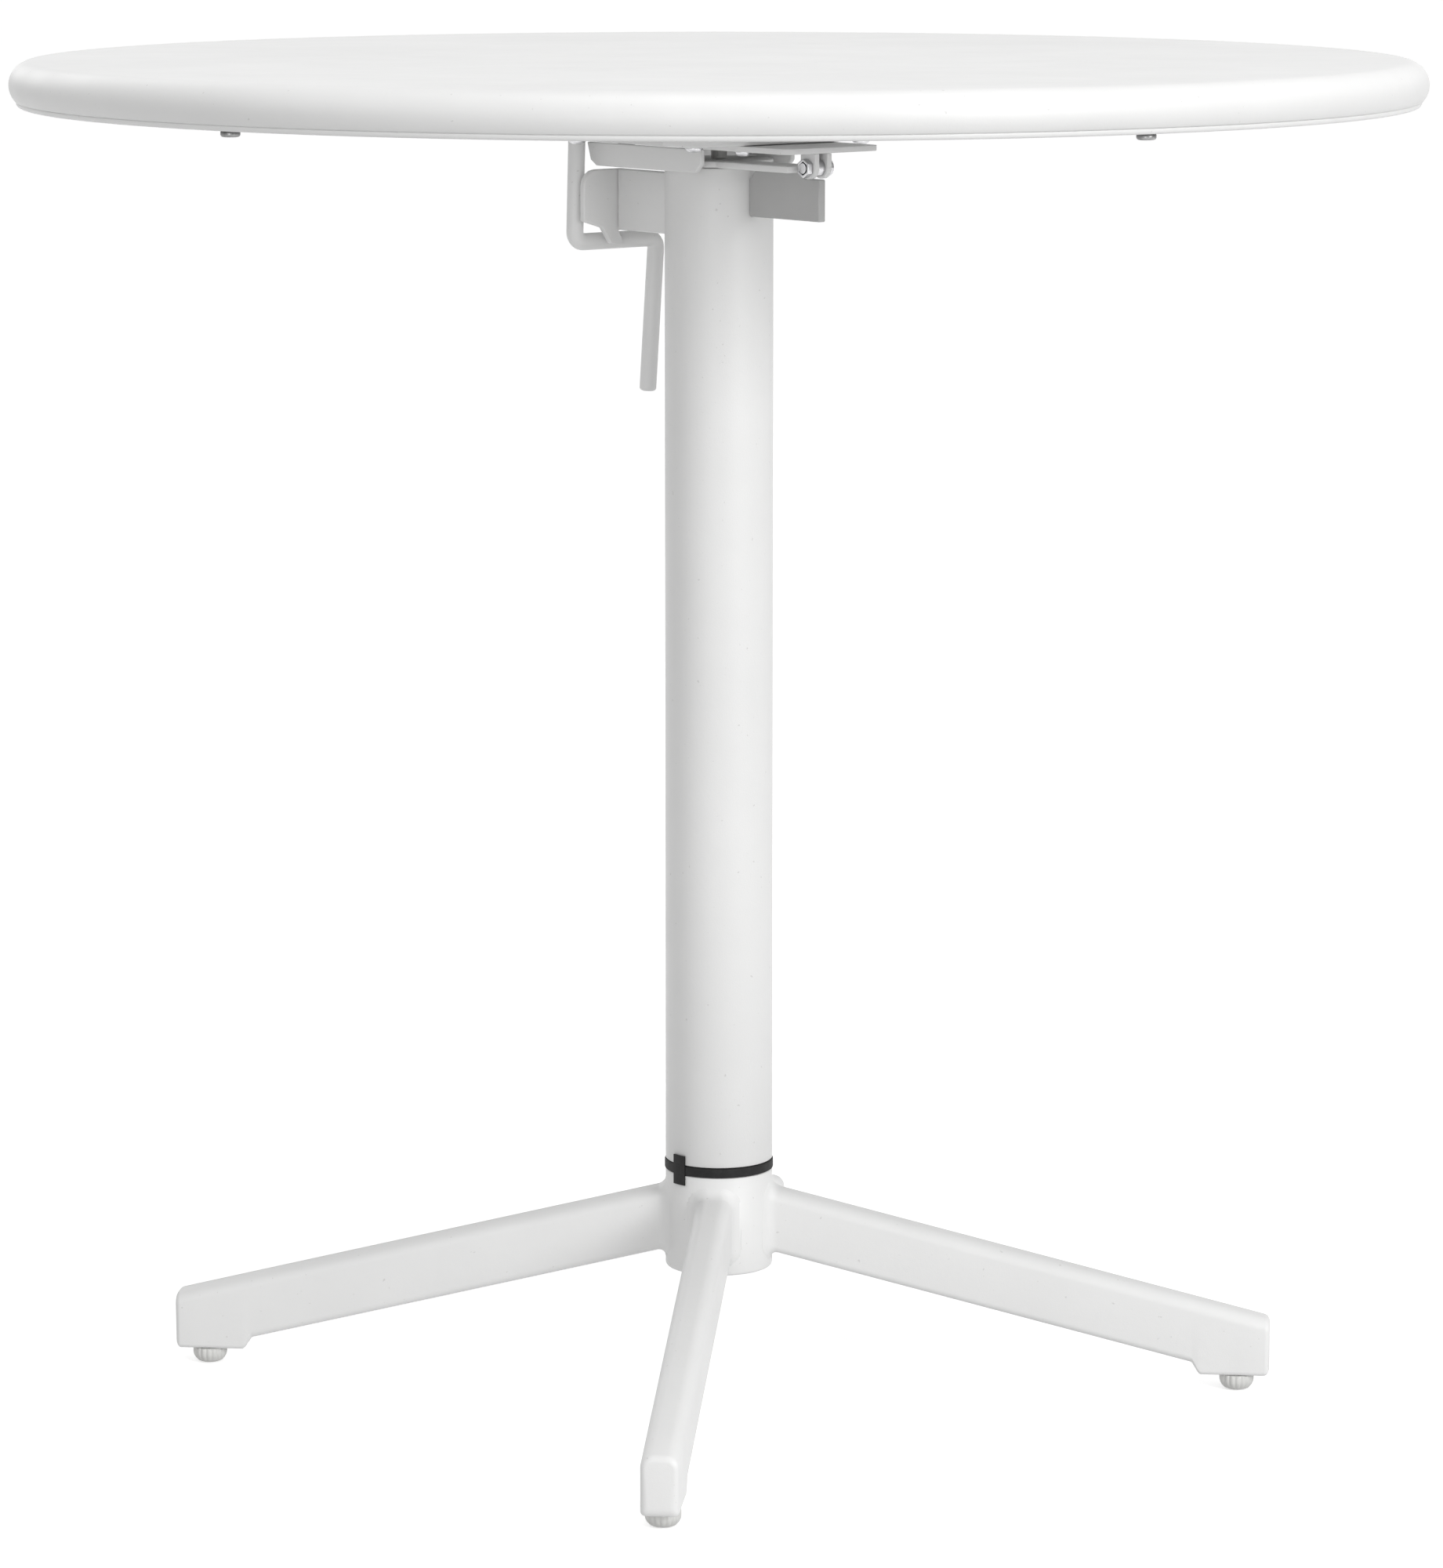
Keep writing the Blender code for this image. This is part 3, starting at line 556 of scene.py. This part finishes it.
def make_seal():
    """Black seal ring with soft edges, and its plain locating tab."""
    low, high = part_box("joint_seal")
    pole_low, pole_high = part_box("pole")
    ring_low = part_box("hub")[1].z + SOLID_GAP
    ring_high = pole_low.z - SOLID_GAP
    radius = (pole_high.x - pole_low.x) / 2 + SEAL_PROUD
    rim = radius - SEAL_ROUND
    profile = arc(rim, ring_low + SEAL_ROUND, SEAL_ROUND, -90.0, 0.0, 4)
    profile += arc(rim, ring_high - SEAL_ROUND, SEAL_ROUND, 0.0, 90.0, 4)
    profile += [(SEAL_BORE, ring_high), (SEAL_BORE, ring_low)]
    add_piece("seal_ring", lathe(profile, 160), "joint_seal", sharp=50.0)

    bm = bmesh.new()
    back, front = radius - 0.0003, radius + 0.0004
    columns = []
    for i in range(SEAL_TAB_STEPS + 1):
        turn = SEAL_TAB_BEARING + SEAL_TAB_HALF * (2 * i / SEAL_TAB_STEPS - 1)
        columns.append([bm.verts.new((reach * math.cos(turn), reach * math.sin(turn), height))
                        for reach, height in ((back, low.z), (front, low.z),
                                              (front, high.z), (back, high.z))])
    for before, after in zip(columns, columns[1:]):
        for k in range(4):
            bm.faces.new((before[k - 1], before[k], after[k], after[k - 1]))
    bm.faces.new(columns[0])
    bm.faces.new(columns[-1])
    corners = [edge for edge in bm.edges if edge.calc_face_angle(0.0) > math.radians(40)]
    bmesh.ops.bevel(bm, geom=corners, offset=0.0002, segments=2, profile=0.5, affect="EDGES")
    add_piece("seal_tab", bm, "joint_seal", replace=False)


# --- legs ------------------------------------------------------------------------------
def leg_line():
    """Height of a leg's top line at the hub, and the hub's radius."""
    low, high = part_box("hub")
    return high.z - LEG_ROOT_BELOW_SEAL + SOLID_GAP, (high.x - low.x) / 2


def leg_section(x, low, high, sole, inset=0.0):
    """Upright section of a leg as (point, outward direction) pairs."""
    half = LEG_WIDTH / 2 - inset
    crown = LEG_CROWN - inset
    corners = ((half - crown, high - inset - crown, crown, 0.0, 12),
               (crown - half, high - inset - crown, crown, 90.0, 12),
               (sole - half, low + inset + sole, sole - inset * 0.5, 180.0, 7),
               (half - sole, low + inset + sole, sole - inset * 0.5, 270.0, 7))
    section = []
    for y, z, radius, start, steps in corners:
        for i in range(steps + 1):
            turn = math.radians(start + 90.0 * i / steps)
            out = Vector((0.0, math.cos(turn), math.sin(turn)))
            section.append((Vector((x, y, z)) + out * radius, out))
    return section


def leg_solid(index):
    """One cast leg along +X: weld fillet at the hub, round crown, soft foot boss."""
    root_top, hub_radius = leg_line()
    heel_start, heel_end = FOOT_INNER - 0.0055, FOOT_INNER + 0.0005
    stations = [hub_radius - LEG_START + 0.0005 * i for i in range(28)]
    stations += [0.042 + 0.0157 * i for i in range(14)]
    stations += [heel_start + 0.0005 * i for i in range(13)]
    stations += [0.276, 0.290, LEG_END - LEG_END_ROUND]
    shape = (root_top, hub_radius, heel_start, heel_end)
    sections = [leg_section(x, *leg_heights(x, *shape)) for x in stations]
    for i in range(1, 8):
        turn = math.radians(90.0 * i / 7)
        x = LEG_END - LEG_END_ROUND * (1.0 - math.sin(turn))
        inset = LEG_END_ROUND * (1.0 - math.cos(turn))
        sections.append(leg_section(x, *leg_heights(x, *shape), inset=inset))
    bm = bmesh.new()
    rings = []
    for section in sections:
        ring = []
        for point, out in section:
            lift = 0.0
            for _ in range(24):     # settles on the swell at the place it swells to
                reach = math.hypot(point.x, point.y + out.y * lift) - hub_radius
                lift = (lift + fillet(reach)) / 2
            if lift > 0.00005:
                spot = Vector((point.x * 330.0, point.y * 330.0 + index * 9.1, point.z * 330.0))
                lift += WELD_RIPPLE * noise.noise(spot) * min(1.0, lift / 0.001)
            ring.append(bm.verts.new(point + out * lift))
        rings.append(ring)
    for near, far in zip(rings, rings[1:]):
        for k in range(len(near)):
            bm.faces.new((near[k - 1], near[k], far[k], far[k - 1]))
    bm.faces.new(rings[0])
    bm.faces.new(rings[-1])
    return bm


def drill(bm, x):
    """The leg with the upright bore that its glide's stud slides in."""
    shaft_low, shaft_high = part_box("glide_stud_1")
    radius = (shaft_high.x - shaft_low.x) / 2 + STUD_CLEARANCE
    top = shaft_high.z + STUD_CLEARANCE * 4
    bmesh.ops.recalc_face_normals(bm, faces=bm.faces)
    tool = bmesh.new()
    bmesh.ops.create_cone(tool, cap_ends=True, segments=48, radius1=radius, radius2=radius,
                          depth=2 * top, matrix=Matrix.Translation((x, 0.0, 0.0)))
    items = []
    for name, shape in (("undrilled_leg", bm), ("stud_drill", tool)):
        mesh = bpy.data.meshes.new(name)
        shape.to_mesh(mesh)
        shape.free()
        items.append(bpy.data.objects.new(name, mesh))
        bpy.context.scene.collection.objects.link(items[-1])
    leg, cutter = items
    cut = leg.modifiers.new("bore", "BOOLEAN")
    cut.object = cutter
    cut.operation = "DIFFERENCE"
    cut.solver = "EXACT"
    bpy.context.view_layer.update()
    cut_leg = leg.evaluated_get(bpy.context.evaluated_depsgraph_get())
    made = bpy.data.meshes.new_from_object(cut_leg)
    drilled = bmesh.new()
    drilled.from_mesh(made)
    meshes = (made, leg.data, cutter.data)
    for item in items:
        bpy.data.objects.remove(item)
    for mesh in meshes:
        bpy.data.meshes.remove(mesh)
    return drilled


def fillet(reach):
    """Swell of the weld at a distance from the hub's wall."""
    if reach >= WELD_FILLET:
        return 0.0
    away = WELD_FILLET - max(reach, 0.0)
    return WELD_FILLET - math.sqrt(max(WELD_FILLET ** 2 - away ** 2, 0.0))


def leg_heights(x, root_top, hub_radius, heel_start, heel_end):
    """Underside, top line and sole radius of a leg at a radius."""
    high = root_top - LEG_DROP * (x - hub_radius)
    share = min(1.0, max(0.0, (x - heel_start) / (heel_end - heel_start)))
    ease = share * share * (3.0 - 2.0 * share)
    low = (high - LEG_DEPTH) * (1.0 - ease) + FOOT_BOTTOM * ease
    return low, high, LEG_SOLE * (1.0 - ease) + FOOT_SOLE * ease


def make_legs():
    """Four legs and their fluted glides."""
    for i in range(LEG_COUNT):
        turn = LEG_TURN + 2 * math.pi * i / LEG_COUNT
        bm = drill(leg_solid(i), GLIDE_AT)
        bmesh.ops.transform(bm, matrix=Matrix.Rotation(turn, 4, "Z"), verts=bm.verts)
        add_piece(f"cast_leg_{i + 1}", bm, f"leg_{i + 1}", sharp=60.0)
        make_glide(i)


def make_glide(index):
    """Domed glide with grip flutes round its side."""
    node = f"glide_{index + 1}"
    low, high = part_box(node)
    middle = (low + high) / 2
    radius = (high.x - low.x) / 2

    def flute(turn, reach, height):
        if reach < radius * 0.72:
            return reach
        depth = FLUTE_DEPTH * min(1.0, max(0.0, (height - low.z - 0.0006) / 0.002))
        return reach - depth * (0.5 + 0.5 * math.cos(FLUTES * turn)) ** 2

    profile = [(0.0, low.z)]
    profile += [(radius * share, low.z + rise) for share, rise in (
        (0.45, 0.0), (0.60, 0.0003), (0.74, 0.0009),
        (0.87, 0.0022), (0.96, 0.0038), (1.0, 0.0052))]
    profile += [(radius * share, high.z - drop) for share, drop in (
        (1.0, 0.0008), (0.97, 0.0002), (0.92, 0.0), (0.0, 0.0))]
    place = Matrix.Translation((middle.x, middle.y, 0.0))
    glide = lathe(profile, FLUTES * 8, place, flute)
    add_piece(f"fluted_glide_{index + 1}", glide, node, sharp=70.0)


# --- latch -------------------------------------------------------------------------------
def make_latch():
    """Bent-rod bail with a rounded handle end, and its coil spring."""
    line = bent_path([Vector(corner) for corner in BAIL_CORNERS], BAIL_BEND)
    end = line[-1].copy()
    tip = (line[-1] - line[-2]).normalized()
    line[-1] = line[-1] - tip * BAIL_TIP
    radii = [BAIL_RADIUS] * len(line)
    for share in (0.45, 0.8, 1.0):
        line.append(end - tip * BAIL_TIP * (1 - share))
        radii.append(BAIL_RADIUS * math.sqrt(1.0 - (0.86 * share) ** 2))
    bm = sweep(line, radii, 32)
    bmesh.ops.transform(bm, matrix=HEAD, verts=bm.verts)
    add_piece("bail_rod", bm, "latch_bail", sharp=50.0)

    _, across, height = BAIL_CORNERS[0]
    radius = BAIL_RADIUS + SPRING_GAP + SPRING_WIRE + SPRING_GAP
    count = SPRING_TURNS * 28
    points = []
    for i in range(count + 1):
        turn = 2 * math.pi * SPRING_TURNS * i / count
        along = SPRING_FROM + (SPRING_TO - SPRING_FROM) * i / count
        points.append(Vector((along, across + radius * math.cos(turn),
                              height + radius * math.sin(turn))))
    bm = sweep(points, SPRING_WIRE, 10)
    bmesh.ops.transform(bm, matrix=HEAD, verts=bm.verts)
    add_piece("coil_spring", bm, "latch_spring", sharp=70.0)


def make_screws():
    """Pan-head screws with a six-lobed recess, pointing up into the top."""
    def lobes(turn, reach, height):
        if reach >= RECESS_RADIUS + 0.0001:
            return reach
        return reach * (1.0 + 0.16 * math.cos(RECESS_LOBES * turn))

    for i in range(4):
        for kind in ("plate_screw", "panel_screw"):
            node = f"{kind}_{i + 1}"
            low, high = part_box(node)
            middle = (low + high) / 2
            profile = [(reach, low.z + rise) for reach, rise in (
                (0.0, RECESS_DEPTH), (RECESS_RADIUS - 0.0001, RECESS_DEPTH),
                (RECESS_RADIUS, 0.0002), (RECESS_RADIUS + 0.0006, 0.0), (0.0032, 0.0003),
                (0.0042, 0.0010), (0.0047, 0.0018), (0.0048, SCREW_HEAD - 0.0003),
                (0.0047, SCREW_HEAD), (SCREW_SHANK, SCREW_HEAD))]
            profile += [(SCREW_SHANK, high.z - 0.0010), (0.0, high.z)]
            place = Matrix.Translation((middle.x, middle.y, 0.0))
            add_piece(f"{kind}_{i + 1}_panhead", lathe(profile, 48, place, lobes), node)


def make_head_weld():
    """Weld along the top of the pole on the side of the latch arm."""
    low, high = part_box("pole")
    radius = (high.x - low.x) / 2
    points, radii = [], []
    count = HEAD_WELD_STEPS
    reach = radius - EASE
    for i in range(count + 1):
        turn = HEAD_WELD_FROM + HEAD_WELD_TURN * i / count
        points.append(Vector((reach * math.cos(turn), reach * math.sin(turn), high.z - 0.0002)))
        taper = min(1.0, 4.0 * i / count, 4.0 * (count - i) / count)
        wobble = noise.noise(Vector((i * 0.55, 3.1, 0.0)))
        toward_wall = abs(math.cos(turn - HEAD_TURN))
        room = (SADDLE_WALL_INNER - WALL_CLEARANCE) / toward_wall - reach
        radii.append(min(0.0003 + (0.0016 + 0.0004 * wobble) * taper, room))
    add_piece("head_weld", sweep(points, radii, 12), "pole", replace=False, sharp=80.0)


def ease_plates():
    """Eased copies of the flat and small parts, softer where the edge is still square; the hinge
    arm gets a darker copy of the white coat as painted shade.
    """
    # painted shade: a darker copy of the white powder coat goes on the hinge arm to stand in for
    # the shade it sits in
    arm_painted_shade_coat = powder_coat("hinge_arm_painted_shade_look", 0.46, 0.9, 0.7)
    eased_copy("hinge_arm", CHAMFERED_EASE, arm_painted_shade_coat)
    for node in ("latch_arm", "latch_keeper", "saddle_wall_outer", "saddle_wall_inner"):
        eased_copy(node, CHAMFERED_EASE)
    for node in ("head_plate", "rail_hinge_side", "rail_latch_side", "base_plate",
                 "hinge_ear_outer", "hinge_ear_inner", "latch_bearing"):
        eased_copy(node)
    for node in ("hinge_nut", "tie_nut", "plug_nut", "latch_collar", "hinge_knuckle",
                 "pole_plug", "tie_washer"):
        eased_copy(node, SMALL_EASE)


def dress_remaining():
    """Give every CAD node that still shows its own finished material."""
    for node, item in frame["nodes"].items():
        if item.hide_render:
            continue
        item.data.materials.clear()
        item.data.materials.append(MATERIALS[SLOT_OF[node]])


MATERIALS = make_materials()
make_camera()
make_studio()
make_top()
make_buttons()
make_pole()
make_hub()
make_seal()
make_legs()
make_latch()
make_screws()
make_head_weld()
ease_plates()
dress_remaining()
